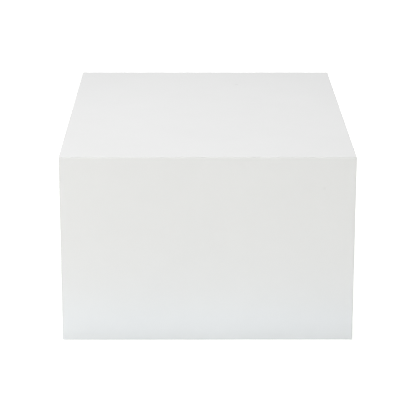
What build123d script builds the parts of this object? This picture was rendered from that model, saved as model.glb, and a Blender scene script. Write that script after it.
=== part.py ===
"""Low display plinth: a white lacquered box of mitred boards over a softwood frame, open underneath.

Five boards meet at mitres, each held by a plywood tongue glued across the joint. Inside, a post
stands in each corner on a foot block, rails run round under the top and round the base, and two halved
ribs carry the top. A levelling foot screws into a tee nut in each foot block.

Millimetres, +Z up, front towards -Y. The origin is on the floor under the middle of the plinth.
"""

from build123d import *
from math import radians, sqrt, tan
import os

# Overall sizes, with the feet at their usual setting
width = 600.0
depth = 800.0
height = 395.0
stand_off = 2.5  # daylight between the floor and the boards

# Boards and the tongues across their mitres
board = 18.0
arris_radius = 1.5
tongue_width = 20.0
tongue_thickness = 4.0
tongue_cover = 4.0  # least board left between a groove and the outer face
tongue_stop = 30.0  # from a tongue's end to the nearest inner corner
groove_slack = 0.5  # at a tongue's edges and ends
glue_gap = 0.1

# Softwood frame
post_size = 44.0
rail_size = 34.0
eased_radius = 2.0

# Plywood ribs under the top
rib_thickness = 18.0
rib_height = 70.0
rib_gap = 0.1

# Foot blocks
block_size = 90.0
block_corner_cut = 25.0
block_cover = 5.0  # wood left over the stem's hole

# Levelling feet
grip_diameter = 40.0
grip_thickness = 3.0
grip_seat = 1.0  # how far the grip sits into the pad
grip_groove_width = 1.5
grip_groove_depth = 0.8
grip_groove_radii = (9.0, 14.0)
pad_diameter = 45.0
pad_height = 8.0
pad_rim_height = 3.5
pad_crown_diameter = 24.0
stem_diameter = 10.0
stem_length = 40.0
stem_slot_width = 1.6
stem_slot_depth = 2.0
stem_chamfer = 1.0
hex_across_flats = 14.0
hex_height = 6.0
neck_diameter = 6.0
rivet_diameter = 10.0
rivet_thickness = 1.5
running_gap = 0.1
thread_gap = 0.05
swivel_gap = 0.3
stop_gap = 0.3  # left under the tee nut when the foot is screwed right in
stem_headroom = 1.2

# Tee nuts
flange_diameter = 26.0
flange_thickness = 1.5
barrel_diameter = 12.5
barrel_length = 12.0
prong_count = 4
prong_radius = 10.5
prong_width = 4.0
prong_length = 7.0
prong_thickness = 1.2

# Wood screws: shank and head diameters, and how far each kind bites into the piece behind
screw_diameter = 4.0
screw_head_diameter = 8.0
board_bite = 11.0
long_screw_diameter = 5.0
long_screw_head_diameter = 10.0
post_bite = 35.0
rib_bite = 22.0
screw_point = 4.0
screw_gap = 0.1
sink = 0.3  # how far a head lies under the surface
head_angle = 90.0
post_screw_rows = 3
post_screw_margin = 45.0
rail_screw_count = 4
rail_screw_margin = 60.0
rail_screw_stagger = 20.0
block_screw_near = 14.0
block_screw_far = 30.0

# Places that follow from the sizes
inner_width = width - 2 * board
inner_depth = depth - 2 * board
under_top = height - board
tongue_setback = tongue_cover + (tongue_width + tongue_thickness) / 2 / sqrt(2)
pad_bottom = grip_thickness - grip_seat
pad_top = pad_bottom + pad_height
hex_bottom = pad_top + swivel_gap
hex_top = hex_bottom + hex_height
stem_top = hex_top + stem_length
flange_bottom = hex_top + stand_off + stop_gap
block_bottom = flange_bottom + flange_thickness
stem_hole_top = stem_top + stand_off + stem_headroom
block_top = stem_hole_top + block_cover
post_length = under_top - block_top
foot_x = inner_width / 2 - block_size / 2
foot_y = inner_depth / 2 - block_size / 2
right_through = post_size + rib_height  # more than any piece that a screw goes right through

CORNERS = {
    "front_left": (-1, -1),
    "front_right": (1, -1),
    "back_left": (-1, 1),
    "back_right": (1, 1),
}
OUTWARD = {
    "front": Vector(0, -1, 0),
    "back": Vector(0, 1, 0),
    "left": Vector(-1, 0, 0),
    "right": Vector(1, 0, 0),
    "top": Vector(0, 0, 1),
}
WALLS = ("front", "back", "left", "right")


def save(piece, name):
    """Labels a finished piece and writes it as its own STEP file."""
    piece.part.label = name
    export_step(piece.part, f"parts/{name}.step")


def reach(wall):
    """How far a board's outer face is from the middle of the floor, along its outward direction."""
    return {"top": height, "front": depth / 2, "back": depth / 2}.get(wall, width / 2)


def crosswise(wall):
    """A wall's direction to the side, level and along its length."""
    return Vector(0, 0, 1).cross(OUTWARD[wall])


def inner_length(wall):
    """The clear length along the inside of a wall."""
    return inner_width if wall in ("front", "back") else inner_depth


# ---------------------------------------------------------------- joints between boards


def meeting(one, other):
    """Where the outer faces of two boards meet, as a plane whose X crosses the mitre towards the first board
    and whose Z runs along the joint. Its origin is halfway along the tongue."""
    a, b = OUTWARD[one], OUTWARD[other]
    corner = a * reach(one) + b * reach(other)
    if "top" not in (one, other):
        corner += Vector(0, 0, (stand_off + under_top) / 2)
    return Plane(origin=corner, x_dir=(a - b).normalized(), z_dir=a.cross(b))


def mitre(one, other):
    """The cut between two boards, facing the first."""
    joint = meeting(one, other)
    return Plane(origin=joint.origin, z_dir=joint.x_dir)


def tongue_plane(one, other):
    inward = (OUTWARD[one] + OUTWARD[other]) * -tongue_setback
    joint = meeting(one, other)
    return Plane(origin=joint.origin + inward, x_dir=joint.x_dir, z_dir=joint.z_dir)


def tongue_length(one, other):
    if "top" in (one, other):
        wall = other if one == "top" else one
        return inner_length(wall) - 2 * tongue_stop
    return under_top - stand_off - 2 * tongue_stop


def tongue(one, other, slack=0.0, gap=0.0):
    """A flat plywood tongue lying square across the mitre, or its groove when it is given slack and a gap."""
    with BuildPart() as strip:
        with BuildSketch(tongue_plane(one, other)):
            Rectangle(tongue_width + 2 * slack, tongue_thickness + 2 * gap)
        extrude(amount=tongue_length(one, other) / 2 + slack, both=True)
    return strip


# ---------------------------------------------------------------- where the screws go
# Each place is a plane on the face that the head sits in, with Z pointing back out of the wood.


def spaced(count, length, margin):
    """Evenly spaced offsets along a length, from one margin to the other."""
    run = length - 2 * margin
    return [run * (i / (count - 1) - 0.5) for i in range(count)]


def post_screw_places(sx, sy):
    """Screws through a corner post into the two walls behind it."""
    centre_x = sx * (inner_width - post_size) / 2
    centre_y = sy * (inner_depth - post_size) / 2
    middle = (block_top + under_top - rail_size) / 2
    rows = spaced(post_screw_rows, post_length - rail_size, post_screw_margin)
    places = {"x": [], "y": []}
    for row, offset in enumerate(rows):
        z = middle + offset
        face_x = sx * (inner_width / 2 - post_size + sink)
        face_y = sy * (inner_depth / 2 - post_size + sink)
        stagger = screw_head_diameter
        places["x"].append(Plane((face_x, centre_y, z + stagger), z_dir=(-sx, 0, 0)))
        places["y"].append(Plane((centre_x, face_y, z - stagger), z_dir=(0, -sy, 0)))
    return places


def rail_screw_places(wall, z, length):
    """Level screws through a rail into the wall behind it."""
    out, along = OUTWARD[wall], crosswise(wall)
    face = out * (reach(wall) - board - rail_size + sink)
    return [
        Plane(face + along * offset + Vector(0, 0, z), z_dir=out * -1)
        for offset in spaced(rail_screw_count, length, rail_screw_margin)
    ]


def top_screw_places(wall):
    """Upright screws through a top rail into the top board, set aside from the level ones."""
    out, along = OUTWARD[wall], crosswise(wall)
    line = out * (reach(wall) - board - rail_size / 2)
    z = under_top - rail_size + sink
    return [
        Plane(line + along * (offset + rail_screw_stagger) + Vector(0, 0, z), z_dir=(0, 0, -1))
        for offset in spaced(rail_screw_count, top_rail_length(wall), rail_screw_margin)
    ]


def block_screw_places(sx, sy):
    """Upright screws through a foot block into the end of the post that stands on it."""
    offsets = ((block_screw_near, block_screw_far), (block_screw_far, block_screw_near))
    return [
        Plane(
            (sx * (inner_width / 2 - a), sy * (inner_depth / 2 - b), block_bottom + sink),
            z_dir=(0, 0, -1),
        )
        for a, b in offsets
    ]


def rib_screw_place(wall):
    """The upright screw through a rib's tail into the top rail above it."""
    line = OUTWARD[wall] * (reach(wall) - board - rail_size / 2)
    return Plane(line + Vector(0, 0, under_top - rib_height + sink), z_dir=(0, 0, -1))


def top_rail_length(wall):
    return inner_length(wall) - 2 * post_size


def base_rail_length(wall):
    return inner_length(wall) - 2 * block_size


top_rail_z = under_top - rail_size / 2
base_rail_z = block_bottom + rail_size / 2


def screw(diameter, head_diameter, length):
    """A countersunk wood screw, its head flush with its own origin and its point down -Z."""
    cone = (head_diameter - diameter) / 2 / tan(radians(head_angle / 2))
    with BuildPart() as one:
        with BuildSketch(Plane.XZ):
            with BuildLine():
                Polyline(
                    (0, 0),
                    (head_diameter / 2, 0),
                    (diameter / 2, -cone),
                    (diameter / 2, screw_point - length),
                    (0, -length),
                    close=True,
                )
            make_face()
        revolve(axis=Axis.Z)
    return one.part


def drill(places, diameter, head_diameter=None, through=right_through):
    """Screw holes in the piece being built: countersunk where the head sits, plain in the piece behind."""
    radius = diameter / 2 + screw_gap
    with Locations(*places):
        if head_diameter:
            CounterSinkHole(radius, head_diameter / 2 + screw_gap, through, head_angle)
        else:
            Hole(radius, through)


# ---------------------------------------------------------------- boards


def carcass_shell():
    """The whole box of boards as one hollow solid, open underneath, from which each board is cut."""
    with BuildPart() as shell:
        with BuildSketch(Plane.XY.offset(stand_off)):
            Rectangle(width, depth)
        extrude(amount=height - stand_off)
        fillet(shell.edges(), radius=arris_radius)
        with BuildSketch(Plane.XY.offset(stand_off)):
            Rectangle(inner_width, inner_depth)
        extrude(amount=under_top - stand_off, mode=Mode.SUBTRACT)
    return shell.part


def neighbours(name):
    if name == "top":
        return WALLS
    return ("top", *(wall for wall in WALLS if OUTWARD[wall].dot(OUTWARD[name]) == 0))


def board_screws(name):
    """The screws that end in a board, with the length of each kind from its head's place."""
    depth_in_rail = rail_size - sink + board_bite + screw_gap
    depth_in_post = post_size - sink + board_bite + screw_gap
    if name == "top":
        return [(top_screw_places(wall), depth_in_rail) for wall in WALLS]
    found = [
        (rail_screw_places(name, top_rail_z, top_rail_length(name)), depth_in_rail),
        (rail_screw_places(name, base_rail_z, base_rail_length(name)), depth_in_rail),
    ]
    axis = "x" if name in ("left", "right") else "y"
    side = OUTWARD[name]
    for sx, sy in CORNERS.values():
        if side.dot(Vector(sx, sy, 0)) > 0:
            found.append((post_screw_places(sx, sy)[axis], depth_in_post))
    return found


def make_boards():
    shell = carcass_shell()
    for name in OUTWARD:
        with BuildPart() as panel:
            add(shell)
            for other in neighbours(name):
                split(bisect_by=mitre(name, other), keep=Keep.TOP)
            for other in neighbours(name):
                add(tongue(name, other, groove_slack, glue_gap).part, mode=Mode.SUBTRACT)
            for places, deep in board_screws(name):
                drill(places, screw_diameter, through=deep)
        save(panel, f"{name}_panel")


def make_tongues():
    for corner in CORNERS:
        save(tongue(*corner.split("_")), f"corner_tongue_{corner}")
    for wall in WALLS:
        save(tongue("top", wall), f"top_tongue_{wall}")


# ---------------------------------------------------------------- frame


def make_posts():
    for corner, (sx, sy) in CORNERS.items():
        places = post_screw_places(sx, sy)
        with BuildPart() as post:
            with BuildSketch(Plane.XY.offset(block_top)):
                with Locations(
                    (sx * (inner_width - post_size) / 2, sy * (inner_depth - post_size) / 2)
                ):
                    Rectangle(post_size, post_size)
            extrude(amount=post_length)
            fillet(post.edges().filter_by(Axis.Z), radius=eased_radius)
            for side in ("x", "y"):
                drill(places[side], screw_diameter, screw_head_diameter)
            drill(
                block_screw_places(sx, sy),
                long_screw_diameter,
                through=block_top - block_bottom - sink + post_bite + screw_gap,
            )
        save(post, f"corner_post_{corner}")


def rail_profile(wall, z, length):
    """A square rail against the inside of a wall, its long edges eased."""
    out, along = OUTWARD[wall], crosswise(wall)
    middle = out * (reach(wall) - board - rail_size / 2) + Vector(0, 0, z)
    start = Plane(middle - along * (length / 2), x_dir=out, z_dir=along)
    with BuildPart() as rail:
        with BuildSketch(start):
            RectangleRounded(rail_size, rail_size, eased_radius)
        extrude(amount=length)
    return rail.part


def make_rails():
    for wall in WALLS:
        length = top_rail_length(wall)
        with BuildPart() as top_rail:
            add(rail_profile(wall, top_rail_z, length))
            level = rail_screw_places(wall, top_rail_z, length)
            drill(level, screw_diameter, screw_head_diameter)
            drill(top_screw_places(wall), screw_diameter, screw_head_diameter)
            deep = rib_height - rail_size - sink + rib_bite + screw_gap
            drill([rib_screw_place(wall)], long_screw_diameter, through=deep)
        save(top_rail, f"top_rail_{wall}")

        length = base_rail_length(wall)
        with BuildPart() as base_rail:
            add(rail_profile(wall, base_rail_z, length))
            level = rail_screw_places(wall, base_rail_z, length)
            drill(level, screw_diameter, screw_head_diameter)
        save(base_rail, f"base_rail_{wall}")


def make_ribs():
    """Two plywood ribs on edge under the top, notched over the rails and halved where they cross."""
    crossing = rib_thickness + 2 * rib_gap
    halving = rib_height / 2 + rib_gap
    notch = rail_size + rib_gap
    slot_below = under_top - rib_height + halving / 2
    slot_above = under_top - halving / 2
    for name, walls, length, face, slot_z in (
        ("rib_across", ("left", "right"), inner_width, Plane.XZ, slot_below),
        ("rib_along", ("front", "back"), inner_depth, Plane.YZ, slot_above),
    ):
        with BuildPart() as rib:
            with BuildSketch(face):
                with Locations((0, under_top - rib_height / 2)):
                    Rectangle(length, rib_height)
                with Locations(
                    ((length - notch) / 2, under_top - notch / 2),
                    ((notch - length) / 2, under_top - notch / 2),
                ):
                    Rectangle(notch, notch, mode=Mode.SUBTRACT)
                with Locations((0, slot_z)):
                    Rectangle(crossing, halving, mode=Mode.SUBTRACT)
            extrude(amount=rib_thickness / 2, both=True)
            places = [rib_screw_place(wall) for wall in walls]
            drill(places, long_screw_diameter, long_screw_head_diameter)
        save(rib, name)


# ---------------------------------------------------------------- feet


def prong(plane, gap=0.0):
    """One pointed prong of a tee nut, standing on the flange at the given plane's origin."""
    half = prong_width / 2 + gap
    with BuildPart() as blade:
        with BuildSketch(Plane(plane.origin, x_dir=plane.y_dir, z_dir=plane.x_dir)):
            with BuildLine():
                Polyline((-half, 0), (half, 0), (0, prong_length + gap), close=True)
            make_face()
        extrude(amount=prong_thickness / 2 + gap, both=True)
    return blade.part


def prong_planes(x, y):
    ring = PolarLocations(prong_radius, prong_count, start_angle=45)
    base = Plane((x, y, block_bottom))
    return [Plane(base.location * spot) for spot in ring.local_locations]


def make_foot_block(corner, sx, sy):
    x, y = sx * foot_x, sy * foot_y
    with BuildPart() as block:
        with BuildSketch(Plane.XY.offset(block_bottom)) as outline:
            with Locations((x, y)):
                Rectangle(block_size, block_size)
            inner_corner = outline.vertices().sort_by_distance((0, 0))[0]
            chamfer(inner_corner, length=block_corner_cut)
        extrude(amount=block_top - block_bottom)
        with Locations(Plane((x, y, block_bottom), z_dir=(0, 0, -1))):
            Hole(barrel_diameter / 2 + glue_gap, barrel_length + glue_gap)
            Hole(stem_diameter / 2 + stop_gap, stem_hole_top - block_bottom)
        for plane in prong_planes(x, y):
            add(prong(plane, glue_gap / 2), mode=Mode.SUBTRACT)
        places = block_screw_places(sx, sy)
        drill(places, long_screw_diameter, long_screw_head_diameter)
    save(block, f"foot_block_{corner}")


def make_tee_nut(corner, x, y):
    with BuildPart() as nut:
        with BuildSketch(Plane((x, y, flange_bottom))):
            Circle(flange_diameter / 2)
        extrude(amount=flange_thickness)
        with BuildSketch(Plane((x, y, block_bottom))):
            Circle(barrel_diameter / 2)
        extrude(amount=barrel_length)
        with Locations(Plane((x, y, flange_bottom), z_dir=(0, 0, -1))):
            Hole(stem_diameter / 2 + thread_gap, flange_thickness + barrel_length)
        for plane in prong_planes(x, y):
            add(prong(plane))
    save(nut, f"tee_nut_{corner}")


def make_pad(corner, x, y):
    """The foot's moulded pad: a round base that rises to a crown, bored for the stem's riveted neck."""
    rim, crown = pad_diameter / 2, pad_crown_diameter / 2
    bore = neck_diameter / 2 + running_gap
    seat = grip_diameter / 2 + running_gap
    pocket = rivet_diameter / 2 + running_gap
    pocket_top = grip_thickness + rivet_thickness + 2 * swivel_gap
    with BuildPart() as pad:
        with BuildSketch(Plane((x, y, 0), x_dir=(1, 0, 0), z_dir=(0, -1, 0))):
            with BuildLine():
                Polyline(
                    (bore, pad_top),
                    (crown, pad_top),
                    (rim, pad_bottom + pad_rim_height),
                    (rim, pad_bottom),
                    (seat, pad_bottom),
                    (seat, grip_thickness),
                    (pocket, grip_thickness),
                    (pocket, pocket_top),
                    (bore, pocket_top),
                    close=True,
                )
            make_face()
        revolve(axis=Axis((x, y, 0), (0, 0, 1)))
    save(pad, f"foot_pad_{corner}")


def make_grip(corner, x, y):
    with BuildPart() as grip:
        with BuildSketch(Plane((x, y, 0))):
            Circle(grip_diameter / 2)
        extrude(amount=grip_thickness)
        with BuildSketch(Plane((x, y, 0))):
            for radius in grip_groove_radii:
                Circle(radius + grip_groove_width)
                Circle(radius, mode=Mode.SUBTRACT)
        extrude(amount=grip_groove_depth, mode=Mode.SUBTRACT)
    save(grip, f"foot_grip_{corner}")


def make_stem(corner, x, y):
    """The foot's screw: a slotted stem, the hexagon it is turned by, and a neck riveted into the pad."""
    rivet_bottom = grip_thickness + swivel_gap
    with BuildPart() as stem:
        with BuildSketch(Plane((x, y, rivet_bottom))):
            Circle(rivet_diameter / 2)
        extrude(amount=rivet_thickness)
        with BuildSketch(Plane((x, y, rivet_bottom))):
            Circle(neck_diameter / 2)
        extrude(amount=hex_bottom - rivet_bottom)
        with BuildSketch(Plane((x, y, hex_bottom))):
            RegularPolygon(hex_across_flats / 2, 6, major_radius=False)
        extrude(amount=hex_height)
        with BuildSketch(Plane((x, y, hex_top))):
            Circle(stem_diameter / 2)
        extrude(amount=stem_length)
        chamfer(stem.edges().group_by(Axis.Z)[-1], length=stem_chamfer)
        with BuildSketch(Plane((x, y, stem_top))):
            Rectangle(stem_slot_width, stem_diameter)
        extrude(amount=-stem_slot_depth, mode=Mode.SUBTRACT)
    save(stem, f"foot_stem_{corner}")


def make_feet():
    for corner, (sx, sy) in CORNERS.items():
        x, y = sx * foot_x, sy * foot_y
        make_foot_block(corner, sx, sy)
        make_tee_nut(corner, x, y)
        make_pad(corner, x, y)
        make_grip(corner, x, y)
        make_stem(corner, x, y)


# ---------------------------------------------------------------- screws


def save_screws(name, places, diameter, head_diameter, length):
    one = screw(diameter, head_diameter, length)
    with BuildPart() as group:
        with Locations(*places):
            add(one)
    save(group, name)


def make_screws():
    short = (screw_diameter, screw_head_diameter)
    long = (long_screw_diameter, long_screw_head_diameter)
    through_rail = rail_size - sink + board_bite
    through_post = post_size - sink + board_bite
    through_block = block_top - block_bottom - sink + post_bite
    through_tail = rib_height - rail_size - sink + rib_bite

    in_posts = []
    in_blocks = []
    for sx, sy in CORNERS.values():
        places = post_screw_places(sx, sy)
        in_posts += places["x"] + places["y"]
        in_blocks += block_screw_places(sx, sy)
    in_top_rails = []
    in_base_rails = []
    into_top = []
    for wall in WALLS:
        in_top_rails += rail_screw_places(wall, top_rail_z, top_rail_length(wall))
        in_base_rails += rail_screw_places(wall, base_rail_z, base_rail_length(wall))
        into_top += top_screw_places(wall)

    save_screws("post_screws", in_posts, *short, through_post)
    save_screws("top_rail_screws", in_top_rails, *short, through_rail)
    save_screws("base_rail_screws", in_base_rails, *short, through_rail)
    save_screws("top_panel_screws", into_top, *short, through_rail)
    save_screws("foot_block_screws", in_blocks, *long, through_block)
    save_screws("rib_screws", [rib_screw_place(wall) for wall in WALLS], *long, through_tail)


os.makedirs("parts", exist_ok=True)
make_boards()
make_tongues()
make_posts()
make_rails()
make_ribs()
make_feet()
make_screws()
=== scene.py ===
"""Looks of a low display plinth: white lacquered boards over a softwood frame, on levelling feet.

Metres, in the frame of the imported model: +Z up, the front towards -Y, the floor at z = 0.
"""

from math import atan2, ceil, cos, pi, radians, sin, tan

import bmesh
import bpy
from mathutils import Matrix, Vector


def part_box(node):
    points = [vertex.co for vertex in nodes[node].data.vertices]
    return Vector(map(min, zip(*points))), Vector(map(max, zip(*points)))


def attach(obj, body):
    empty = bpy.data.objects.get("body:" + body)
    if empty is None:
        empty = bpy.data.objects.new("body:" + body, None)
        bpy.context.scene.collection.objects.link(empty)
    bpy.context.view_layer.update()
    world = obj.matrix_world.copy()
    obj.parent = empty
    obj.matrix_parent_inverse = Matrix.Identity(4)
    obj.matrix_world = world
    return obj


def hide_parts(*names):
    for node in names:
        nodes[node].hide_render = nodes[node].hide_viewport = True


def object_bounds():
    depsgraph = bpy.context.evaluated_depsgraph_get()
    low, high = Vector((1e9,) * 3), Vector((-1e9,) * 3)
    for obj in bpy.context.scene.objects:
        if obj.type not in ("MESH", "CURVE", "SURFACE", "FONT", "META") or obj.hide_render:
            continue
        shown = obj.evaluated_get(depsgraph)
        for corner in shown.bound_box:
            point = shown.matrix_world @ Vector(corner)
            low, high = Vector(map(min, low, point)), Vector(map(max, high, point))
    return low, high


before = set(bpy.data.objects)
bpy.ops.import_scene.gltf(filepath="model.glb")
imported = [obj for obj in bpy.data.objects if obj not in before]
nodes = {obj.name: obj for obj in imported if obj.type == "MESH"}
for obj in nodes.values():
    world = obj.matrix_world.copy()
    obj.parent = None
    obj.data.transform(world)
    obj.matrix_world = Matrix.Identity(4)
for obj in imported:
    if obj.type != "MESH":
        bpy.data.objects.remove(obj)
cad_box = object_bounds()

MM = 0.001
CORNERS = ("front_left", "front_right", "back_left", "back_right")
WALLS = ("front", "back", "left", "right")

# The lacquer's white, its faint drift, and a grey: real primer in the filled nicks and where the
# arrises are rubbed through, and painted shade along every arris
LACQUER = (0.735, 0.735, 0.730)
LACQUER_SHADE = (0.722, 0.722, 0.718)
# grey used both as painted shade along the arrises and as real primer in nicks and rubbed spots
PRIMER_AND_EDGE_SHADE = (0.60, 0.60, 0.59)

# Two old nicks in the lacquer, filled and touched in: where each is, and how far it spreads
NICK_ON_TOP = (0.0736, 0.2631, cad_box[1].z)
NICK_ON_TOP_RADIUS = 6.5 * MM
NICK_ON_FRONT = (0.2358, cad_box[0].y, 0.3293)
NICK_ON_FRONT_RADIUS = 4.5 * MM

# The colour of the dust that has settled on bare wood
WOOD_DUST = (0.55, 0.52, 0.47)

# The metric thread of the feet
M10_PITCH = 1.5 * MM
M10_CREST = 5.0 * MM

# Studio light: strengths in watts for the softboxes, relative for the floor and the surround
FLOOR_PAINT = (0.86, 0.86, 0.86)
FLOOR_GLOW = (0.986, 1.000, 0.959)
FLOOR_STRENGTH = 0.524
FAR_FLOOR_LIFT = 0.62
SURROUND_LIGHT = 0.154
SURROUND_SEEN = 1.05
SURROUND_TINT = (0.994, 1.000, 0.981)
OVERHEAD = 155.181
OVERHEAD_TINT = (0.987, 0.990, 1.000)
FRONT_LEFT = 18.599
FRONT_LEFT_TINT = (1.000, 0.976, 0.940)
FLOOR_CARD = 0.066
FLOOR_CARD_TINT = (0.418, 0.693, 1.000)

# The Mix node's colour sockets, which share their names with its plain ones
COLOUR_A, COLOUR_B, COLOUR_RESULT = 6, 7, 2

# The kind of socket for an effect's input, by its usual value; a vector has none
SOCKET_KINDS = {
    float: "NodeSocketFloat",
    tuple: "NodeSocketColor",
    type(None): "NodeSocketVector",
}


# ================================================================ shader helpers


def add(tree, kind, inputs=None, **settings):
    """Adds a node. Each input is a plain value or the output that feeds it."""
    made = tree.nodes.new(kind)
    for name, value in settings.items():
        setattr(made, name, value)
    for name, value in (inputs or {}).items():
        if isinstance(value, bpy.types.NodeSocket):
            tree.links.new(value, made.inputs[name])
        else:
            made.inputs[name].default_value = value
    return made


def maths(tree, operation, *values):
    """The result of a sum on plain values or outputs."""
    made = add(tree, "ShaderNodeMath", dict(enumerate(values)), operation=operation)
    return made.outputs[0]


def ramp(tree, value, low, high, out_low=0.0, out_high=1.0):
    """A smooth change of a value from one level to another."""
    made = add(
        tree,
        "ShaderNodeMapRange",
        {"Value": value, "From Min": low, "From Max": high, "To Min": out_low, "To Max": out_high},
        interpolation_type="SMOOTHSTEP",
    )
    return made.outputs["Result"]


def blend_colours(tree, share, one, other):
    """From one colour to the other as the share goes from 0 to 1."""
    made = add(tree, "ShaderNodeMix", {0: share}, data_type="RGBA")
    for socket, colour in ((made.inputs[COLOUR_A], one), (made.inputs[COLOUR_B], other)):
        if isinstance(colour, bpy.types.NodeSocket):
            tree.links.new(colour, socket)
        else:
            socket.default_value = (*colour, 1.0)
    return made.outputs[COLOUR_RESULT]


def blend_values(tree, share, one, other):
    """From one value to the other as the share goes from 0 to 1."""
    return add(tree, "ShaderNodeMix", {0: share, 2: one, 3: other}).outputs[0]


def noise(tree, vector, scale, detail=3.0, roughness=0.5, distortion=0.0):
    """Cloudy noise from 0 to 1, gathered about a half."""
    made = add(
        tree,
        "ShaderNodeTexNoise",
        {
            "Vector": vector,
            "Scale": scale,
            "Detail": detail,
            "Roughness": roughness,
            "Distortion": distortion,
        },
    )
    return made.outputs["Fac"]


def stretched(tree, vector, scale=(1, 1, 1), turn=(0, 0, 0), shift=(0, 0, 0)):
    """The same place in a texture that is scaled, turned (in degrees) and shifted."""
    turned_by = tuple(radians(angle) for angle in turn)
    made = add(
        tree,
        "ShaderNodeMapping",
        {"Vector": vector, "Scale": scale, "Rotation": turned_by, "Location": shift},
    )
    return made.outputs[0]


def effect(name, inputs, outputs):
    """A node group with named inputs, each with its usual value, and named outputs."""
    group = bpy.data.node_groups.new(name, "ShaderNodeTree")
    for socket_name, usual in inputs.items():
        socket_type = SOCKET_KINDS[type(usual)]
        socket = group.interface.new_socket(socket_name, in_out="INPUT", socket_type=socket_type)
        if usual is not None:
            socket.default_value = (*usual, 1.0) if isinstance(usual, tuple) else usual
    for socket_name, socket_type in outputs.items():
        group.interface.new_socket(socket_name, in_out="OUTPUT", socket_type=socket_type)
    return group, group.nodes.new("NodeGroupInput").outputs, group.nodes.new("NodeGroupOutput").inputs


def use(tree, group, **values):
    """Places an effect in a material with its own values. Words in a name are joined by underscores."""
    made = add(tree, "ShaderNodeGroup", node_tree=group)
    for name, value in values.items():
        socket = made.inputs[name.replace("_", " ")]
        if isinstance(value, bpy.types.NodeSocket):
            tree.links.new(value, socket)
        else:
            socket.default_value = (*value, 1.0) if isinstance(value, tuple) else value
    return made.outputs


# ================================================================ effects shared by materials


def worn_edges_effect():
    """Edge is all along the edges; Mask is where they have been rubbed, here and there."""
    group, given, out = effect(
        "worn edges",
        {"Vector": None, "Radius": 0.001, "Break Up Scale": 60.0},
        {"Mask": "NodeSocketFloat", "Edge": "NodeSocketFloat"},
    )
    rounded = add(group, "ShaderNodeBevel", {"Radius": given["Radius"]}, samples=6)
    flat = add(group, "ShaderNodeNewGeometry").outputs["Normal"]
    agreement = add(
        group,
        "ShaderNodeVectorMath",
        {0: rounded.outputs[0], 1: flat},
        operation="DOT_PRODUCT",
    )
    edge = ramp(group, agreement.outputs["Value"], 0.99, 0.80)
    patches = noise(group, given["Vector"], given["Break Up Scale"], 4.0)
    broken = ramp(group, patches, 0.42, 0.62)
    group.links.new(edge, out["Edge"])
    group.links.new(maths(group, "MULTIPLY", edge, broken), out["Mask"])
    return group


def settled_dust_effect():
    """A thin uneven film of dust, on faces that look up."""
    group, given, out = effect(
        "settled dust",
        {"Vector": None, "Patch Scale": 12.0, "Amount": 0.3},
        {"Mask": "NodeSocketFloat"},
    )
    normal = add(group, "ShaderNodeNewGeometry").outputs["Normal"]
    height = add(group, "ShaderNodeSeparateXYZ", {0: normal}).outputs["Z"]
    upward = ramp(group, height, 0.2, 0.9)
    patches = ramp(group, noise(group, given["Vector"], given["Patch Scale"], 6.0, 0.62), 0.35, 0.75)
    specks = ramp(group, noise(group, given["Vector"], 900.0, 2.0), 0.60, 0.72)
    film = maths(group, "MULTIPLY_ADD", specks, 0.5, patches)
    lying = maths(group, "MULTIPLY", maths(group, "MULTIPLY", film, upward), given["Amount"])
    group.links.new(lying, out["Mask"])
    return group


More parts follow.
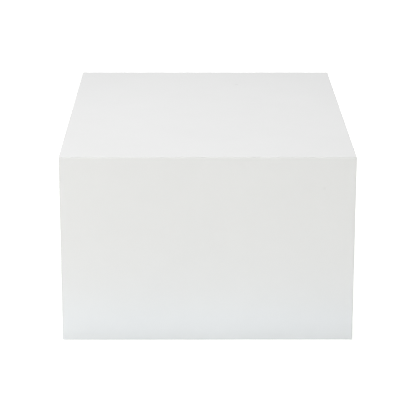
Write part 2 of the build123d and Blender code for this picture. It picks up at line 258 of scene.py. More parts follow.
def softwood_effect():
    """Planed pine with its grain along Z: growth rings round a far pith, fibres and resin streaks."""
    group, given, out = effect(
        "planed softwood",
        {
            "Vector": None,
            "Ring Spacing": 0.0034,
            "Pale": (0.72, 0.52, 0.29),
            "Dark": (0.50, 0.28, 0.11),
        },
        {"Color": "NodeSocketColor", "Height": "NodeSocketFloat", "Roughness": "NodeSocketFloat"},
    )
    place = given["Vector"]

    # growth rings, closer in lean years, swept aside where a branch grew through
    wander = noise(group, stretched(group, place, (11, 11, 2.0)), 1.0, 2.0)
    section = stretched(group, place, (1, 1, 0.02))
    off_pith = add(group, "ShaderNodeVectorMath", {0: section}, operation="LENGTH").outputs["Value"]
    years = add(
        group,
        "ShaderNodeTexNoise",
        {"W": off_pith, "Scale": 95.0},
        noise_dimensions="1D",
    ).outputs[0]
    uneven = maths(group, "MULTIPLY_ADD", years, 0.007, off_pith)
    drifted = maths(group, "MULTIPLY_ADD", wander, 0.026, uneven)
    branch = add(
        group,
        "ShaderNodeTexVoronoi",
        {"Vector": stretched(group, place, (1, 1, 0.55)), "Scale": 11.0},
    ).outputs["Distance"]
    knot = ramp(group, branch, 0.105, 0.085)
    swept = maths(group, "MULTIPLY_ADD", ramp(group, branch, 0.30, 0.09), 0.007, drifted)
    ring = maths(group, "FRACT", maths(group, "DIVIDE", swept, given["Ring Spacing"]))
    summer = maths(group, "POWER", ring, 2.6)
    autumn = ramp(group, ring, 1.0, 0.93)
    late_wood = maths(group, "MULTIPLY", summer, autumn)

    # fibres, streaks of resin and a slow drift of tone along the piece
    fibres = noise(group, stretched(group, place, (1400, 1400, 28)), 1.0, 4.0, 0.6)
    streaks = ramp(group, noise(group, stretched(group, place, (420, 420, 9)), 1.0, 2.0), 0.66, 0.78)
    tone = noise(group, stretched(group, place, (7, 7, 0.8)), 1.0, 3.0)
    darker = maths(group, "MULTIPLY_ADD", maths(group, "SUBTRACT", fibres, 0.5), 0.34, late_wood)
    toned = maths(group, "MULTIPLY_ADD", maths(group, "SUBTRACT", tone, 0.5), 0.45, darker)
    wood = blend_colours(group, toned, given["Pale"], given["Dark"])
    resin = blend_colours(group, maths(group, "MULTIPLY", streaks, 0.35), wood, (0.30, 0.15, 0.06))

    # knots, with rings of their own
    knot_rings = maths(group, "FRACT", maths(group, "MULTIPLY", branch, 70.0))
    knot_wood = blend_colours(group, knot_rings, (0.34, 0.165, 0.07), (0.22, 0.10, 0.045))
    knotty = blend_colours(group, maths(group, "MULTIPLY", knot, 0.9), resin, knot_wood)
    group.links.new(knotty, out["Color"])
    relief = maths(group, "MULTIPLY_ADD", fibres, 0.6, maths(group, "MAXIMUM", late_wood, knot))
    group.links.new(relief, out["Height"])
    group.links.new(maths(group, "MULTIPLY_ADD", late_wood, -0.12, 0.66), out["Roughness"])
    return group


def plywood_effect():
    """Birch plywood with its length along Z and its thickness along X: veneers crossed by turns."""
    group, given, out = effect(
        "birch plywood",
        {"Vector": None, "Veneer": 0.0014, "Pale": (0.74, 0.57, 0.37), "End Grain": (0.50, 0.33, 0.17)},
        {"Color": "NodeSocketColor", "Height": "NodeSocketFloat", "Roughness": "NodeSocketFloat"},
    )
    place = given["Vector"]
    across = add(group, "ShaderNodeSeparateXYZ", {0: place}).outputs["X"]
    wavy = noise(group, stretched(group, place, (30, 40, 6)), 1.0, 1.0)
    level = maths(group, "DIVIDE", maths(group, "MULTIPLY_ADD", wavy, 0.0002, across), given["Veneer"])
    crossed = maths(group, "PINGPONG", maths(group, "FLOOR", level), 1.0)
    within = maths(group, "FRACT", level)
    glue = maths(group, "ADD", ramp(group, within, 0.07, 0.0), ramp(group, within, 0.93, 1.0))
    fibres = noise(group, stretched(group, place, (900, 900, 22)), 1.0, 4.0, 0.6)
    pores = noise(group, stretched(group, place, (1600, 1600, 1600)), 1.0, 2.0)
    flame = noise(group, stretched(group, place, (10, 26, 3)), 1.0, 4.0, 0.5, 1.2)
    long_grain = maths(group, "MULTIPLY_ADD", fibres, 0.35, maths(group, "MULTIPLY", flame, 0.4))
    short_grain = maths(group, "MULTIPLY_ADD", pores, 0.5, 0.45)
    share = blend_values(group, crossed, long_grain, short_grain)
    veneers = blend_colours(group, share, given["Pale"], given["End Grain"])
    lined = blend_colours(group, maths(group, "MULTIPLY", glue, 0.6), veneers, (0.16, 0.09, 0.05))
    group.links.new(lined, out["Color"])
    group.links.new(maths(group, "MULTIPLY_ADD", glue, -0.6, fibres), out["Height"])
    group.links.new(maths(group, "MULTIPLY_ADD", fibres, 0.18, 0.50), out["Roughness"])
    return group


worn_edges = worn_edges_effect()
settled_dust = settled_dust_effect()
planed_softwood = softwood_effect()
birch_plywood = plywood_effect()


# ================================================================ materials


def material(name, metallic=0.0, coat=0.0, coat_roughness=0.2):
    """A new material: its tree, its surface shader and the piece's own coordinates."""
    made = bpy.data.materials.new(name)
    made.use_nodes = True
    tree = made.node_tree
    tree.nodes.clear()
    surface = add(tree, "ShaderNodeBsdfPrincipled", {"Metallic": metallic})
    surface.inputs["Coat Weight"].default_value = coat
    surface.inputs["Coat Roughness"].default_value = coat_roughness
    add(tree, "ShaderNodeOutputMaterial", {"Surface": surface.outputs[0]})
    place = add(tree, "ShaderNodeTexCoord").outputs["Object"]
    return made, tree, surface, place


def finish_surface(tree, surface, colour, roughness, height, depth):
    """Feeds a surface its colour, roughness and fine relief, the relief's depth in metres."""
    tree.links.new(colour, surface.inputs["Base Color"])
    tree.links.new(roughness, surface.inputs["Roughness"])
    relief = add(tree, "ShaderNodeBump", {"Height": height, "Distance": depth, "Strength": 1.0})
    tree.links.new(relief.outputs[0], surface.inputs["Normal"])


def inside_box(tree, place, half_width, half_depth, ceiling, soft):
    """1 on the inner faces of the boards, 0 on the outer ones, for a place in the frame."""
    axes = add(tree, "ShaderNodeSeparateXYZ", {0: place}).outputs
    across = ramp(tree, maths(tree, "ABSOLUTE", axes["X"]), half_width + soft, half_width)
    deep = ramp(tree, maths(tree, "ABSOLUTE", axes["Y"]), half_depth + soft, half_depth)
    below = ramp(tree, axes["Z"], ceiling + soft, ceiling)
    return maths(tree, "MULTIPLY", maths(tree, "MULTIPLY", across, deep), below)


def filled_nick(tree, place, middle, radius):
    """1 in the middle of a small filled nick, fading out to its rim."""
    apart = add(tree, "ShaderNodeVectorMath", {0: place, 1: middle}, operation="DISTANCE")
    return ramp(tree, apart.outputs["Value"], radius, 0.3 * radius)


def lacquered_board():
    """White satin lacquer outside, sprayed over a rolled primer; bare fibreboard inside."""
    made, tree, surface, place = material("white_satin_lacquer", coat=0.12, coat_roughness=0.22)
    inside_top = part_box("top_panel")[0].z
    inside_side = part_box("right_panel")[0].x
    inside_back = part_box("back_panel")[0].y

    # the sprayed film: a faint drift of tone, a stipple in the gloss and a fine orange peel
    drift = noise(tree, place, 2.3, 3.0, 0.5)
    cloud = noise(tree, place, 19.0, 4.0, 0.55)
    stipple = noise(tree, place, 420.0, 3.0, 0.55)
    peel = noise(tree, place, 260.0, 2.0, 0.4)
    grit = noise(tree, place, 2100.0, 2.0, 0.5)
    tone = maths(tree, "MULTIPLY_ADD", cloud, 0.35, maths(tree, "MULTIPLY", drift, 0.65))
    white = blend_colours(tree, ramp(tree, tone, 0.3, 0.7), LACQUER_SHADE, LACQUER)

    # handling: soft rubs where hands and trolleys reach, a little wear through the film on the arrises,
    # painted shade that darkens every arris to grey, and dull arrises
    rubs = noise(tree, stretched(tree, place, (3, 3, 14)), 1.0, 5.0, 0.65, 0.6)
    rubbed = ramp(tree, rubs, 0.66, 0.80)
    marked = blend_colours(tree, maths(tree, "MULTIPLY", rubbed, 0.10), white, (0.62, 0.61, 0.58))
    arris = use(tree, worn_edges, Vector=place, Radius=2.2 * MM, Break_Up_Scale=35.0)
    # painted shade: an unbroken grey line along every arris darkens the edge and damps its highlight;
    # only the broken Mask share is real wear through the film
    painted_arris_shade = maths(tree, "MULTIPLY", arris["Edge"], 0.9)
    arris_shade_and_wear = maths(tree, "MULTIPLY_ADD", arris["Mask"], 0.1, painted_arris_shade)
    arris_shaded_and_worn = blend_colours(tree, arris_shade_and_wear, marked, PRIMER_AND_EDGE_SHADE)
    on_top = filled_nick(tree, place, NICK_ON_TOP, NICK_ON_TOP_RADIUS)
    on_front = filled_nick(tree, place, NICK_ON_FRONT, NICK_ON_FRONT_RADIUS)
    nicks = maths(tree, "MULTIPLY_ADD", on_front, 0.22, maths(tree, "MULTIPLY", on_top, 0.5))
    filled = blend_colours(tree, nicks, arris_shaded_and_worn, PRIMER_AND_EDGE_SHADE)
    dust = use(tree, settled_dust, Vector=place, Patch_Scale=6.0, Amount=0.05)["Mask"]
    dusted = blend_colours(tree, dust, filled, (0.60, 0.59, 0.56))

    # bare fibreboard: pressed fibres, darker flecks, and overspray that fades up the inside
    fibre = noise(tree, place, 1300.0, 3.0, 0.7)
    fleck = ramp(tree, noise(tree, place, 620.0, 2.0, 0.5), 0.62, 0.74)
    bare = blend_colours(tree, fibre, (0.50, 0.34, 0.19), (0.38, 0.245, 0.13))
    flecked = blend_colours(tree, maths(tree, "MULTIPLY", fleck, 0.5), bare, (0.20, 0.12, 0.06))
    up = add(tree, "ShaderNodeSeparateXYZ", {0: place}).outputs["Z"]
    ragged = maths(tree, "MULTIPLY_ADD", noise(tree, place, 70.0, 4.0, 0.6), 0.016, up)
    overspray = ramp(tree, ragged, 0.030, 0.012)
    inner = inside_box(tree, place, inside_side, inside_back, inside_top, 0.4 * MM)
    bare_share = maths(tree, "MULTIPLY", inner, maths(tree, "SUBTRACT", 1.0, overspray))
    colour = blend_colours(tree, bare_share, dusted, flecked)

    # how rough: satin, duller where rubbed and along the arrises, and dry where bare
    satin = maths(tree, "MULTIPLY_ADD", stipple, 0.10, 0.33)
    rubbed_satin = maths(tree, "MULTIPLY_ADD", rubbed, 0.08, satin)
    edge_satin = maths(tree, "MULTIPLY_ADD", arris["Edge"], 0.22, rubbed_satin)
    roughness = blend_values(tree, bare_share, edge_satin, 0.82)
    film = maths(tree, "MULTIPLY_ADD", grit, 0.12, peel)
    height = blend_values(tree, bare_share, film, fibre)
    finish_surface(tree, surface, colour, roughness, height, 0.02 * MM)
    return made


def from_own_log(tree, place, middle, home):
    """The place measured from a piece's own log, for pieces that stand symmetrically about a middle."""
    centred = add(tree, "ShaderNodeVectorMath", {0: place, 1: middle}, operation="SUBTRACT")
    folded = add(tree, "ShaderNodeVectorMath", {0: centred.outputs[0]}, operation="ABSOLUTE")
    return add(
        tree,
        "ShaderNodeVectorMath",
        {0: folded.outputs[0], 1: home},
        operation="SUBTRACT",
    ).outputs[0]


def softwood(name, turn, middle, home):
    """Planed softwood, its grain turned to run along the piece; home is from the middle to its pith."""
    made, tree, surface, place = material(name)
    along = stretched(tree, from_own_log(tree, place, middle, home), turn=turn)
    wood = use(tree, planed_softwood, Vector=along)
    edge = use(tree, worn_edges, Vector=place, Radius=1.2 * MM, Break_Up_Scale=90.0)["Mask"]
    rubbed = blend_colours(tree, maths(tree, "MULTIPLY", edge, 0.35), wood["Color"], (0.66, 0.50, 0.32))
    dust = use(tree, settled_dust, Vector=place, Patch_Scale=20.0, Amount=0.22)["Mask"]
    colour = blend_colours(tree, dust, rubbed, WOOD_DUST)
    finish_surface(tree, surface, colour, wood["Roughness"], wood["Height"], 0.08 * MM)
    return made


def plywood(name, turn):
    """Sanded birch plywood, turned so that its veneers lie along the piece."""
    made, tree, surface, place = material(name)
    along = stretched(tree, place, turn=turn, shift=(0.0002, 0.0, 0.0))
    wood = use(tree, birch_plywood, Vector=along)
    dust = use(tree, settled_dust, Vector=place, Patch_Scale=20.0, Amount=0.2)["Mask"]
    colour = blend_colours(tree, dust, wood["Color"], WOOD_DUST)
    finish_surface(tree, surface, colour, wood["Roughness"], wood["Height"], 0.06 * MM)
    return made


def zinc_plate():
    """Bright zinc plate: a faint blue and straw bloom, fine draw lines and rubbed crests."""
    made, tree, surface, place = material("bright_zinc_plate", metallic=1.0)
    bloom = noise(tree, place, 90.0, 3.0, 0.5)
    spangle = noise(tree, place, 1500.0, 2.0, 0.5)
    cool = blend_colours(tree, ramp(tree, bloom, 0.35, 0.65), (0.60, 0.62, 0.66), (0.66, 0.64, 0.57))
    mottled = blend_colours(tree, maths(tree, "MULTIPLY", spangle, 0.3), cool, (0.48, 0.49, 0.50))
    edge = use(tree, worn_edges, Vector=place, Radius=0.35 * MM, Break_Up_Scale=260.0)["Mask"]
    bright = blend_colours(tree, maths(tree, "MULTIPLY", edge, 0.7), mottled, (0.78, 0.78, 0.77))
    dull = maths(tree, "MULTIPLY_ADD", spangle, 0.20, 0.24)
    roughness = maths(tree, "MULTIPLY_ADD", edge, -0.08, dull)
    finish_surface(tree, surface, bright, roughness, spangle, 0.015 * MM)
    return made


def moulded_nylon():
    """Black nylon with a spark-eroded mould grain, scuffed pale along its edges."""
    made, tree, surface, place = material("black_moulded_nylon")
    grain = noise(tree, place, 2600.0, 2.0, 0.55)
    flow = noise(tree, place, 70.0, 3.0, 0.5)
    black = blend_colours(tree, flow, (0.014, 0.014, 0.015), (0.030, 0.030, 0.031))
    edge = use(tree, worn_edges, Vector=place, Radius=0.5 * MM, Break_Up_Scale=150.0)["Mask"]
    scuffed = blend_colours(tree, maths(tree, "MULTIPLY", edge, 0.6), black, (0.13, 0.13, 0.13))
    dust = use(tree, settled_dust, Vector=place, Patch_Scale=60.0, Amount=0.25)["Mask"]
    colour = blend_colours(tree, dust, scuffed, (0.32, 0.31, 0.29))
    roughness = maths(tree, "MULTIPLY_ADD", grain, 0.22, 0.42)
    finish_surface(tree, surface, colour, roughness, grain, 0.03 * MM)
    return made


def grip_rubber():
    """Dull black rubber with a bloom of wear and grey floor dust worked into it."""
    made, tree, surface, place = material("ribbed_rubber")
    bloom = noise(tree, place, 55.0, 4.0, 0.6)
    pitting = noise(tree, place, 1800.0, 3.0, 0.6)
    black = blend_colours(tree, bloom, (0.020, 0.020, 0.020), (0.052, 0.051, 0.049))
    edge = use(tree, worn_edges, Vector=place, Radius=0.6 * MM, Break_Up_Scale=120.0)["Mask"]
    colour = blend_colours(tree, maths(tree, "MULTIPLY", edge, 0.5), black, (0.17, 0.165, 0.155))
    roughness = maths(tree, "MULTIPLY_ADD", pitting, 0.18, 0.74)
    finish_surface(tree, surface, colour, roughness, pitting, 0.05 * MM)
    return made


# ================================================================ mesh helpers


def skin(rings, joined=False):
    """Points and faces of a stack of equal rings, capped at both ends, or joined end to end."""
    count = len(rings[0])
    points = [point for ring in rings for point in ring]
    faces = []
    for level in range(len(rings) - (0 if joined else 1)):
        low, high = level * count, (level + 1) % len(rings) * count
        for k in range(count):
            after = (k + 1) % count
            faces.append((low + k, low + after, high + after, high + k))
    if not joined:
        faces.append(tuple(reversed(range(count))))
        faces.append(tuple(range(len(points) - count, len(points))))
    return points, faces


def ring(z, radius, angles):
    """One ring about the Z axis. The radius is a number, or a function of the angle."""
    reach = radius if callable(radius) else lambda angle: radius
    return [(reach(a) * cos(a), reach(a) * sin(a), z) for a in angles]


def even_angles(count):
    """Directions spaced evenly round a full turn."""
    return [2 * pi * k / count for k in range(count)]


def eased(outline, radius, joined=False, steps=4):
    """An outline of (radius, z) points with its corners rounded off by arcs."""
    made = []
    last = len(outline) - 1
    for k, corner in enumerate(outline):
        if not joined and k in (0, last):
            made.append(corner)
            continue
        here = Vector(corner)
        before, after = Vector(outline[k - 1]) - here, Vector(outline[(k + 1) % len(outline)]) - here
        half = before.angle(after) / 2
        longest_cut = 0.45 * min(before.length, after.length)
        cut = min(radius / tan(half), longest_cut)
        start, end = here + before.normalized() * cut, here + after.normalized() * cut
        for step in range(steps + 1):
            share = step / steps
            bend = start.lerp(here, share).lerp(here.lerp(end, share), share)
            made.append(tuple(bend))
    return made


def turned(outline, angles, joined=False):
    """A piece turned about the Z axis from an outline of (radius, z) points."""
    return skin([ring(z, radius, angles) for radius, z in outline], joined)


def thread_reach(z, pitch, root, crest, run):
    """The radius round a right-handed thread at a height, fading out beyond its run."""
    start, end = run
    fade = max(0.0, min(1.0, (z - start) / pitch, (end - z) / pitch))
    flat, steepness = 1.45, 1.6

    def reach(angle):
        phase = (z / pitch - angle / (2 * pi)) % 1.0
        flank = max(0.0, min(1.0, flat - abs(phase - 0.5) * 2 * steepness))
        return root + (crest - root) * flank * fade

    return reach


def piece(name, shapes, look, body, stands_for):
    """Makes one object of several (points, faces) shapes, and puts it in the place of CAD nodes."""
    mesh = bpy.data.meshes.new(name)
    points, faces = [], []
    for shape_points, shape_faces in shapes:
        first = len(points)
        points += [tuple(point) for point in shape_points]
        faces += [tuple(first + k for k in face) for face in shape_faces]
    mesh.from_pydata(points, [], faces)
    mesh.validate()
    mesh.update()
    obj = bpy.data.objects.new(name, mesh)
    bpy.context.scene.collection.objects.link(obj)
    mesh.materials.append(look)
    smooth_by_angle(mesh)
    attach(obj, body)
    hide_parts(*stands_for)
    return obj


def smooth_by_angle(mesh, sharp=radians(32)):
    """Shades a mesh smooth, apart from edges that bend by more than an angle."""
    work = bmesh.new()
    work.from_mesh(mesh)
    bmesh.ops.recalc_face_normals(work, faces=work.faces)
    for face in work.faces:
        face.smooth = True
    for edge in work.edges:
        edge.smooth = len(edge.link_faces) == 2 and edge.calc_face_angle(0.0) < sharp
    work.to_mesh(mesh)
    work.free()


def moved(shape, matrix):
    """A shape carried to another place."""
    points, faces = shape
    return [matrix @ Vector(point) for point in points], faces


def combined(shape, cutter, operation):
    """One shape cut by another, or joined to it."""
    objects = []
    for points, faces in (shape, cutter):
        mesh = bpy.data.meshes.new("work")
        mesh.from_pydata([tuple(point) for point in points], [], faces)
        work = bmesh.new()
        work.from_mesh(mesh)
        bmesh.ops.recalc_face_normals(work, faces=work.faces)
        work.to_mesh(mesh)
        work.free()
        obj = bpy.data.objects.new("work", mesh)
        bpy.context.scene.collection.objects.link(obj)
        objects.append(obj)
    boolean = objects[0].modifiers.new("cut", "BOOLEAN")
    boolean.object, boolean.operation, boolean.solver = objects[1], operation, "EXACT"
    graph = bpy.context.evaluated_depsgraph_get()
    result = bpy.data.meshes.new_from_object(objects[0].evaluated_get(graph))
    points = [vertex.co.copy() for vertex in result.vertices]
    faces = [tuple(polygon.vertices) for polygon in result.polygons]
    for obj in objects:
        used = obj.data
        bpy.data.objects.remove(obj)
        bpy.data.meshes.remove(used)
    bpy.data.meshes.remove(result)
    return points, faces


# ================================================================ screws


def cross_reach(half_width, arm, angle):
    """How far a cross-shaped recess reaches from the middle, in a direction."""
    within = angle % (pi / 2)
    within = min(within, pi / 2 - within)
    return min(arm / cos(within), half_width / max(sin(within), 1e-6))


def screw_shape(shank, head, length, pitch):
    """A countersunk wood screw with a cross recess: its head at the origin, its point down -Z."""
    arm, half_width = head * 0.30, head * 0.055
    recess_depth, recess_tip = head * 0.28, head * 0.03
    rim = head * 0.02
    cone = (head - shank) / 2
    root, crest = shank * 0.34, shank * 0.5
    neck, smooth = shank * 0.43, shank * 0.40
    smooth_end = length * 0.35
    blunt, tip_radius = 0.06, 0.12 * MM

    # directions through the corners of the cross, so that they stay sharp, and between them
    corner = atan2(half_width, arm)
    between = (corner + pi / 4) / 2
    quarter = (0.0, corner, between, pi / 4, pi / 2 - between, pi / 2 - corner)
    angles = [turn * pi / 2 + angle for turn in range(4) for angle in quarter]

    def recess(share):
        """A cross-shaped ring, larger or smaller by a share."""
        return lambda angle: share * cross_reach(half_width, arm, angle)

    rings = [
        ring(-recess_depth, recess_tip, angles),
        ring(-recess_depth * 0.8, recess(0.62), angles),
        ring(-rim, recess(0.94), angles),
        ring(0.0, recess(1.04), angles),
        ring(0.0, head / 2 - rim, angles),
        ring(-rim, head / 2, angles),
        ring(-2 * rim, head / 2, angles),
        ring(-cone - 2 * rim, neck, angles),
        ring(-smooth_end, smooth, angles),
    ]
    step = pitch / 4
    run = (-length, -smooth_end)
    for k in range(1, ceil((length - smooth_end) / step)):
        z = -smooth_end - k * step
        if z < -length + 0.2 * MM:
            break
        taper = min(1.0, (length + z) / shank + blunt)
        rings.append(ring(z, thread_reach(z, pitch, root * taper, crest * taper, run), angles))
    rings.append(ring(-length, tip_radius, angles))
    return skin(rings)


def connected_points(vert, unseen):
    """The points joined to a vertex, which is out of the unseen ones; they are taken out too."""
    points, waiting = [], [vert]
    while waiting:
        here = waiting.pop()
        points.append(here.co.copy())
        near = {edge.other_vert(here) for edge in here.link_edges} & unseen
        unseen -= near
        waiting.extend(near)
    return points


def screw_place(points):
    """Where one screw's head is, with Z pointing out of it, and how long the screw is."""
    low = Vector(min(point[i] for point in points) for i in range(3))
    high = Vector(max(point[i] for point in points) for i in range(3))
    size, middle = high - low, (low + high) / 2
    axis = max(range(3), key=lambda i: size[i])
    along = Vector([i == axis for i in range(3)])

    def girth(level):
        """How far the screw reaches from its own axis at one of its ends."""
        offsets = [point - middle for point in points if abs(point[axis] - level) < 0.01 * MM]
        return max((offset - along * offset[axis]).length for offset in offsets)

    sign, head_at = (1, high[axis]) if girth(high[axis]) > girth(low[axis]) else (-1, low[axis])
    origin = middle.copy()
    origin[axis] = head_at
    out = Vector([sign * (i == axis) for i in range(3)])
    turn = out.to_track_quat("Z", "Y").to_matrix().to_4x4()
    return Matrix.Translation(origin) @ turn, size[axis]


def screw_places(node):
    """The place and length of each screw in a CAD node, in the order of their places."""
    work = bmesh.new()
    work.from_mesh(nodes[node].data)
    bmesh.ops.remove_doubles(work, verts=work.verts, dist=0.001 * MM)
    unseen = set(work.verts)
    places = []
    while unseen:
        places.append(screw_place(connected_points(unseen.pop(), unseen)))
    work.free()
    return sorted(places, key=lambda place: tuple(round(v, 5) for v in place[0].translation))


def make_screws(look):
    """Every wood screw, each turned a little differently, as it was left by the driver."""
    turn_between = 2.4
    # node, and shank, head and pitch in millimetres
    kinds = (
        ("post_screws", 4.0, 8.0, 1.9),
        ("top_rail_screws", 4.0, 8.0, 1.9),
        ("base_rail_screws", 4.0, 8.0, 1.9),
        ("top_panel_screws", 4.0, 8.0, 1.9),
        ("foot_block_screws", 5.0, 10.0, 2.3),
        ("rib_screws", 5.0, 10.0, 2.3),
    )
    for node, shank, head, pitch in kinds:
        places = screw_places(node)
        one = screw_shape(shank * MM, head * MM, places[0][1], pitch * MM)
        shapes = []
        for k, (place, _) in enumerate(places):
            shapes.append(moved(one, place @ Matrix.Rotation(k * turn_between, 4, "Z")))
        piece(f"{node}_cross_recessed", shapes, look, "carcass", [node])


# ================================================================ levelling feet


def hexagon(angle):
    """How far a hexagon of half its width across flats of 1 reaches, in a direction."""
    within = (angle + pi / 6) % (pi / 3) - pi / 6
    return 1.0 / cos(within)


def foot_middle(corner):
    """The axis of a foot, on the floor."""
    low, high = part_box(f"foot_grip_{corner}")
    return Vector(((low.x + high.x) / 2, (low.y + high.y) / 2, 0.0))


def stem_shape():
    """The foot's M10 screw: riveted neck, chamfered hexagon and a cut thread with a driver slot."""
    low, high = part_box("foot_stem_front_left")
    flats = (high.y - low.y) / 2
    flat_face, corner_cut = flats * 0.98, flats * 1.16
    hex_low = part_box("foot_pad_front_left")[1].z + 0.3 * MM
    hex_high = low.z + 13.0 * MM
    bevel = 0.6 * MM
    neck, rivet = 3.0 * MM, 5.0 * MM
    rivet_base, rivet_top = low.z + 0.5 * MM, low.z + 1.3 * MM
    root = M10_CREST - 0.613 * M10_PITCH
    angles = even_angles(48)

    def clipped(limit):
        """The hexagon with its corners turned off at a radius."""
        return lambda angle: min(flats * hexagon(angle), limit)

    rings = [
        ring(low.z, rivet * 0.86, angles),
        ring(low.z + 0.2 * MM, rivet * 0.97, angles),
        ring(rivet_base, rivet, angles),
        ring(rivet_top, rivet, angles),
        ring(rivet_top + 0.2 * MM, rivet * 0.96, angles),
        ring(rivet_top + 0.2 * MM, neck, angles),
        ring(hex_low, neck, angles),
        ring(hex_low, clipped(flat_face), angles),
        ring(hex_low + bevel, clipped(corner_cut), angles),
        ring(hex_high - bevel, clipped(corner_cut), angles),
        ring(hex_high, clipped(flat_face), angles),
        ring(hex_high, root * 1.02, angles),
    ]
    z, run = hex_high, (hex_high + 0.4 * MM, high.z - 0.3 * MM)
    while z < high.z - 1.2 * MM:
        z += M10_PITCH / 6
        rings.append(ring(z, thread_reach(z, M10_PITCH, root, M10_CREST, run), angles))
    for drop, share in ((1.0, 0.93), (0.4, 0.86), (0.0, 0.80)):
        rings.append(ring(high.z - drop * MM, M10_CREST * share, angles))

    # the driver slot, cut right across the top
    half, deep, reach = 0.8 * MM, 2.0 * MM, 2 * M10_CREST
    sides = ((-half, -reach), (half, -reach), (half, reach), (-half, reach))
    slot = skin([[(x, y, z) for x, y in sides] for z in (high.z - deep, high.z + deep)])
    return combined(skin(rings), slot, "DIFFERENCE")


def pad_shape():
    """The foot's moulded pad: a stepped round base with a rolled rim and a raised collar."""
    low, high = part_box("foot_pad_front_left")
    grip_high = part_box("foot_grip_front_left")[1].z
    rim = (high.x - low.x) / 2
    bore, crown = 3.1 * MM, 12.0 * MM
    grip_seat = 20.1 * MM
    rivet_pocket, pocket_top = 5.1 * MM, grip_high + 2.1 * MM
    shoulder = low.z + 3.5 * MM
    collar = high.z - 0.9 * MM
    outline = [
        (bore, pocket_top),
        (rivet_pocket, pocket_top),
        (rivet_pocket, grip_high),
        (grip_seat, grip_high),
        (grip_seat, low.z),
        (rim, low.z),
        (rim, shoulder),
        (rim - 1.2 * MM, shoulder),
        (rim - 1.6 * MM, shoulder + 0.25 * MM),
        (crown + 1.2 * MM, collar),
        (crown, collar),
        (crown - 0.3 * MM, high.z),
        (bore, high.z),
    ]
    return turned(eased(outline, 0.5 * MM, joined=True), even_angles(72), joined=True)


def grip_shape():
    """The rubber disc under the pad, with two rings of grooves and a softened edge."""
    low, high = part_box("foot_grip_front_left")
    rim, middle = (high.x - low.x) / 2, 0.4 * MM
    groove_top, width = low.z + 0.8 * MM, 1.5 * MM
    outline = [(middle, low.z)]
    for inner in (9.0 * MM, 14.0 * MM):
        outer = inner + width
        outline += [(inner, low.z), (inner, groove_top), (outer, groove_top), (outer, low.z)]
    outline += [(rim, low.z), (rim, high.z), (middle, high.z)]
    return turned(eased(outline, 0.25 * MM), even_angles(72))


def tee_nut_shape():
    """A pressed tee nut: flange, bent-up prongs with the notches they left, and a threaded barrel."""
    low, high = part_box("tee_nut_front_left")
    flange, barrel = (high.x - low.x) / 2, 6.25 * MM
    seat = low.z + 1.5 * MM
    bore_crest, bore_root = 5.12 * MM, 5.7 * MM
    angles = even_angles(48)
    outside = [
        (bore_root, low.z),
        (flange, low.z),
        (flange, seat),
        (barrel, seat),
        (barrel, high.z),
        (bore_root, high.z),
    ]
    rings = [ring(z, radius, angles) for radius, z in eased(outside, 0.3 * MM)]
    z = high.z - 0.3 * MM
    while z > low.z + 0.4 * MM:
        groove = thread_reach(z, M10_PITCH, bore_root, bore_crest, (low.z, high.z))
        rings.append(ring(z, groove, angles))
        z -= M10_PITCH / 6
    shape = skin(rings, joined=True)

    # four prongs bent up out of the flange, and the notches that they left in its rim
    prong_at, half, tall, sheet = 10.5 * MM, 2.0 * MM, 7.0 * MM, 0.6 * MM
    base, point = seat - 0.5 * MM, seat + tall
    inner_side = prong_at - sheet
    inner = [(inner_side, -half, base), (inner_side, half, base), (inner_side, 0.0, point)]
    outer = [(x + 2 * sheet, y, z) for x, y, z in inner]
    edge, beyond_rim = prong_at + 1.2 * sheet, flange + 2 * MM
    sides = ((edge, -half), (beyond_rim, -half), (beyond_rim, half), (edge, half))
    notch = skin([[(x, y, z) for x, y in sides] for z in (low.z - MM, seat + 0.2 * MM)])
    for k in range(4):
        turn = Matrix.Rotation(pi / 4 + k * pi / 2, 4, "Z")
        shape = combined(shape, moved(skin([inner, outer]), turn), "UNION")
        shape = combined(shape, moved(notch, turn), "DIFFERENCE")
    return shape


def make_feet(metal, nylon, rubber):
    """The four feet. Each of their pieces is made once and moved to its corner."""
    kinds = (
        ("tee_nut", "pressed", tee_nut_shape(), metal, "carcass", "zinc_plated_steel"),
        ("foot_stem", "threaded", stem_shape(), metal, "stem", "zinc_plated_steel"),
        ("foot_pad", "moulded", pad_shape(), nylon, "foot", "moulded_nylon"),
        ("foot_grip", "ribbed", grip_shape(), rubber, "foot", "rubber"),
    )
    for kind, manner, shape, look, carrier, slot in kinds:
        for corner in CORNERS:
            node = f"{kind}_{corner}"
            body = carrier if carrier == "carcass" else f"{carrier}_{corner}"
            place = Matrix.Translation(foot_middle(corner))
            piece(f"{kind}_{manner}_{corner}", [moved(shape, place)], look, body, [node])


# ================================================================ dressing the boards and the frame


def dress(node, look):
    """Gives a CAD node its finish."""
    obj = nodes[node]
    for material_slot in obj.material_slots:
        material_slot.material = look


def dress_boards():
    """The five outer boards, all in the same white lacquer."""
    white = lacquered_board()
    for wall in ("top", *WALLS):
        dress(f"{wall}_panel", white)


def dress_softwood():
    """Posts, rails and foot blocks, with the grain along each and a pith of its own beside it."""
    half_up = (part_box("front_panel")[0].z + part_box("top_panel")[1].z) / 2
    beyond = 3.0  # further than any piece reaches, so that no piece is folded along its length
    upright = softwood(
        "softwood_upright",
        turn=(0, 0, 0),
        middle=(0, 0, -beyond),
        home=(0.235, 0.395, beyond),
    )
    crossways = softwood(
        "softwood_across",
        turn=(0, 90, 0),
        middle=(-beyond, 0, half_up),
        home=(beyond, 0.33, 0.125),
    )
    lengthways = softwood(
        "softwood_along",
        turn=(90, 0, 0),
        middle=(0, -beyond, half_up),
        home=(0.31, beyond, 0.13),
    )
    block_grain = softwood(
        "softwood_blocks",
        turn=(0, 90, 0),
        middle=(-beyond, 0, half_up),
        home=(beyond, 0.325, 0.20),
    )
    for wall in WALLS:
        grain = crossways if wall in ("front", "back") else lengthways
        dress(f"top_rail_{wall}", grain)
        dress(f"base_rail_{wall}", grain)
    for corner in CORNERS:
        dress(f"corner_post_{corner}", upright)
        dress(f"foot_block_{corner}", block_grain)


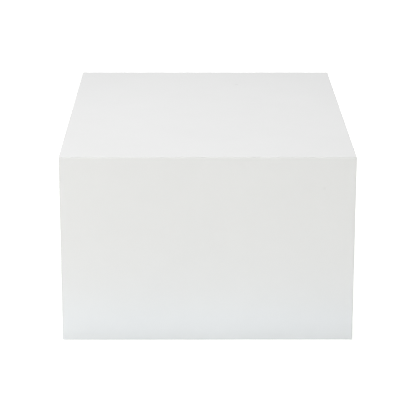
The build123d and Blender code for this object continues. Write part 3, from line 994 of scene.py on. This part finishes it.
def dress_plywood():
    """The two ribs and the loose tongues, with the veneers lying along each."""
    rib_across_ply = plywood("plywood_rib_across", turn=(0, 90, 90))
    rib_along_ply = plywood("plywood_rib_along", turn=(90, 0, 0))
    tongue_ply = plywood("plywood_tongue", turn=(0, 0, 45))
    dress("rib_across", rib_across_ply)
    dress("rib_along", rib_along_ply)
    for corner in CORNERS:
        dress(f"corner_tongue_{corner}", tongue_ply)
    for wall in WALLS:
        dress(f"top_tongue_{wall}", tongue_ply)


# ================================================================ floor, light and camera


def make_floor():
    """A plain white studio floor, bright enough to lift the lower part of the plinth."""
    reach = 60.0
    lift_from, lift_to = 0.8, 6.0
    corners = [(-reach, -reach, 0), (reach, -reach, 0), (reach, reach, 0), (-reach, reach, 0)]
    mesh = bpy.data.meshes.new("studio_floor")
    mesh.from_pydata(corners, [], [(0, 1, 2, 3)])
    floor = bpy.data.objects.new("studio_floor", mesh)
    bpy.context.scene.collection.objects.link(floor)
    made, tree, surface, place = material("studio_floor_white")
    surface.inputs["Base Color"].default_value = (*FLOOR_PAINT, 1)
    surface.inputs["Roughness"].default_value = 0.9
    surface.inputs["Emission Color"].default_value = (*FLOOR_GLOW, 1)
    away = add(tree, "ShaderNodeVectorMath", {0: place}, operation="LENGTH").outputs["Value"]
    far_strength = FLOOR_STRENGTH + FAR_FLOOR_LIFT
    glow = ramp(tree, away, lift_from, lift_to, FLOOR_STRENGTH, far_strength)
    tree.links.new(glow, surface.inputs["Emission Strength"])
    mesh.materials.append(made)


def make_world():
    """An even white surround: full white where it is seen, softer where it lights."""
    world = bpy.data.worlds.new("white_studio")
    bpy.context.scene.world = world
    world.use_nodes = True
    tree = world.node_tree
    tree.nodes.clear()
    seen = add(tree, "ShaderNodeLightPath").outputs["Is Camera Ray"]
    strength = blend_values(tree, seen, SURROUND_LIGHT, SURROUND_SEEN)
    back = add(tree, "ShaderNodeBackground", {"Color": (*SURROUND_TINT, 1), "Strength": strength})
    add(tree, "ShaderNodeOutputWorld", {"Surface": back.outputs[0]})


def softbox(name, at, towards, width, height, power, colour):
    """A soft rectangular lamp that the camera doesn't see."""
    lamp = bpy.data.lights.new(name, "AREA")
    lamp.shape = "RECTANGLE"
    lamp.size, lamp.size_y = width, height
    lamp.energy = power
    lamp.color = colour
    obj = bpy.data.objects.new(name, lamp)
    bpy.context.scene.collection.objects.link(obj)
    obj.location = at
    obj.rotation_mode = "QUATERNION"
    obj.rotation_quaternion = (Vector(towards) - Vector(at)).to_track_quat("-Z", "Y")
    obj.visible_camera = False


def make_camera(aim, azimuth, elevation, distance, roll, lens):
    """A camera round the plinth: azimuth 0 looks straight at the front, elevation is above level."""
    camera = bpy.data.cameras.new("camera")
    camera.lens = lens
    camera.sensor_width = 36.0
    camera.clip_start, camera.clip_end = 0.05, 200.0
    obj = bpy.data.objects.new("camera", camera)
    bpy.context.scene.collection.objects.link(obj)
    a, e = radians(azimuth), radians(elevation)
    back = Vector((sin(a) * cos(e), -cos(a) * cos(e), sin(e)))
    obj.location = Vector(aim) + back * distance
    turn = (-back).to_track_quat("-Z", "Y").to_matrix() @ Matrix.Rotation(radians(roll), 3, "Z")
    obj.rotation_mode = "QUATERNION"
    obj.rotation_quaternion = turn.to_quaternion()
    bpy.context.scene.camera = obj


dress_boards()
dress_softwood()
dress_plywood()
zinc = zinc_plate()
make_screws(zinc)
make_feet(zinc, moulded_nylon(), grip_rubber())

make_floor()
make_world()
softbox(
    "overhead",
    at=(-0.45, -0.1, 3.5),
    towards=(0, 0, 0.4),
    width=3.2,
    height=3.2,
    power=OVERHEAD,
    colour=OVERHEAD_TINT,
)
softbox(
    "front_left",
    at=(-1.9, -2.6, 1.5),
    towards=(0, -0.4, 0.2),
    width=1.6,
    height=1.6,
    power=FRONT_LEFT,
    colour=FRONT_LEFT_TINT,
)
softbox(
    "floor_card",
    at=(-0.02, -0.505, 0.008),
    towards=(-0.02, -0.4, 0.02),
    width=0.80,
    height=0.04,
    power=FLOOR_CARD,
    colour=FLOOR_CARD_TINT,
)
make_camera(
    (0.0041, 0.0, 0.1676),
    azimuth=-0.5047,
    elevation=16.7820,
    distance=3.8881,
    roll=0.1205,
    lens=148.273,
)
bpy.context.scene.view_settings.view_transform = "Standard"
